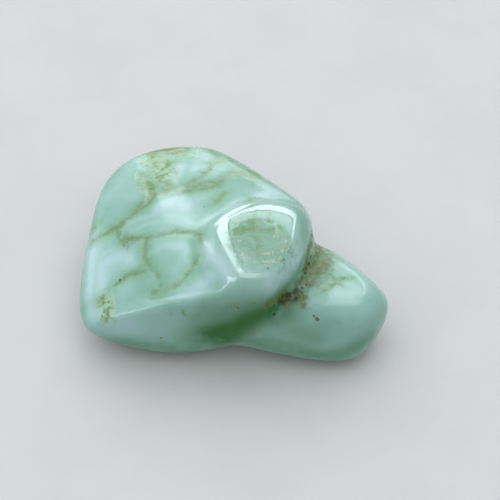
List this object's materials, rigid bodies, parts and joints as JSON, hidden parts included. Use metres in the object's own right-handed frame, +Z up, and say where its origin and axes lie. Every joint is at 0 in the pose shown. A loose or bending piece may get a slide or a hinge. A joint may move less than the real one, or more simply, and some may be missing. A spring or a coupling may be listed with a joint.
{
  "type": "tumbled chrysoprase pebble",
  "caption": "Polished chrysoprase pebble: a sloping main face, a low dome beside it, and a rounded toe set off by a stained crevice.",
  "frame": {"origin": "under the middle of the stone's bounding box, on the surface that it rests on", "axes": "+X along the stone towards its toe, -Y towards the side with the ridge and the crevice, +Z up"},
  "size_m": [0.0378, 0.0286, 0.0159],
  "materials": {
    "chrysoprase": "tumbled to a wet-looking polish, milky and translucent, with ochre and olive veins and a dull, stained crevice"
  },
  "bodies": {
    "root": {"stone": "chrysoprase"}
  },
  "joints": []
}
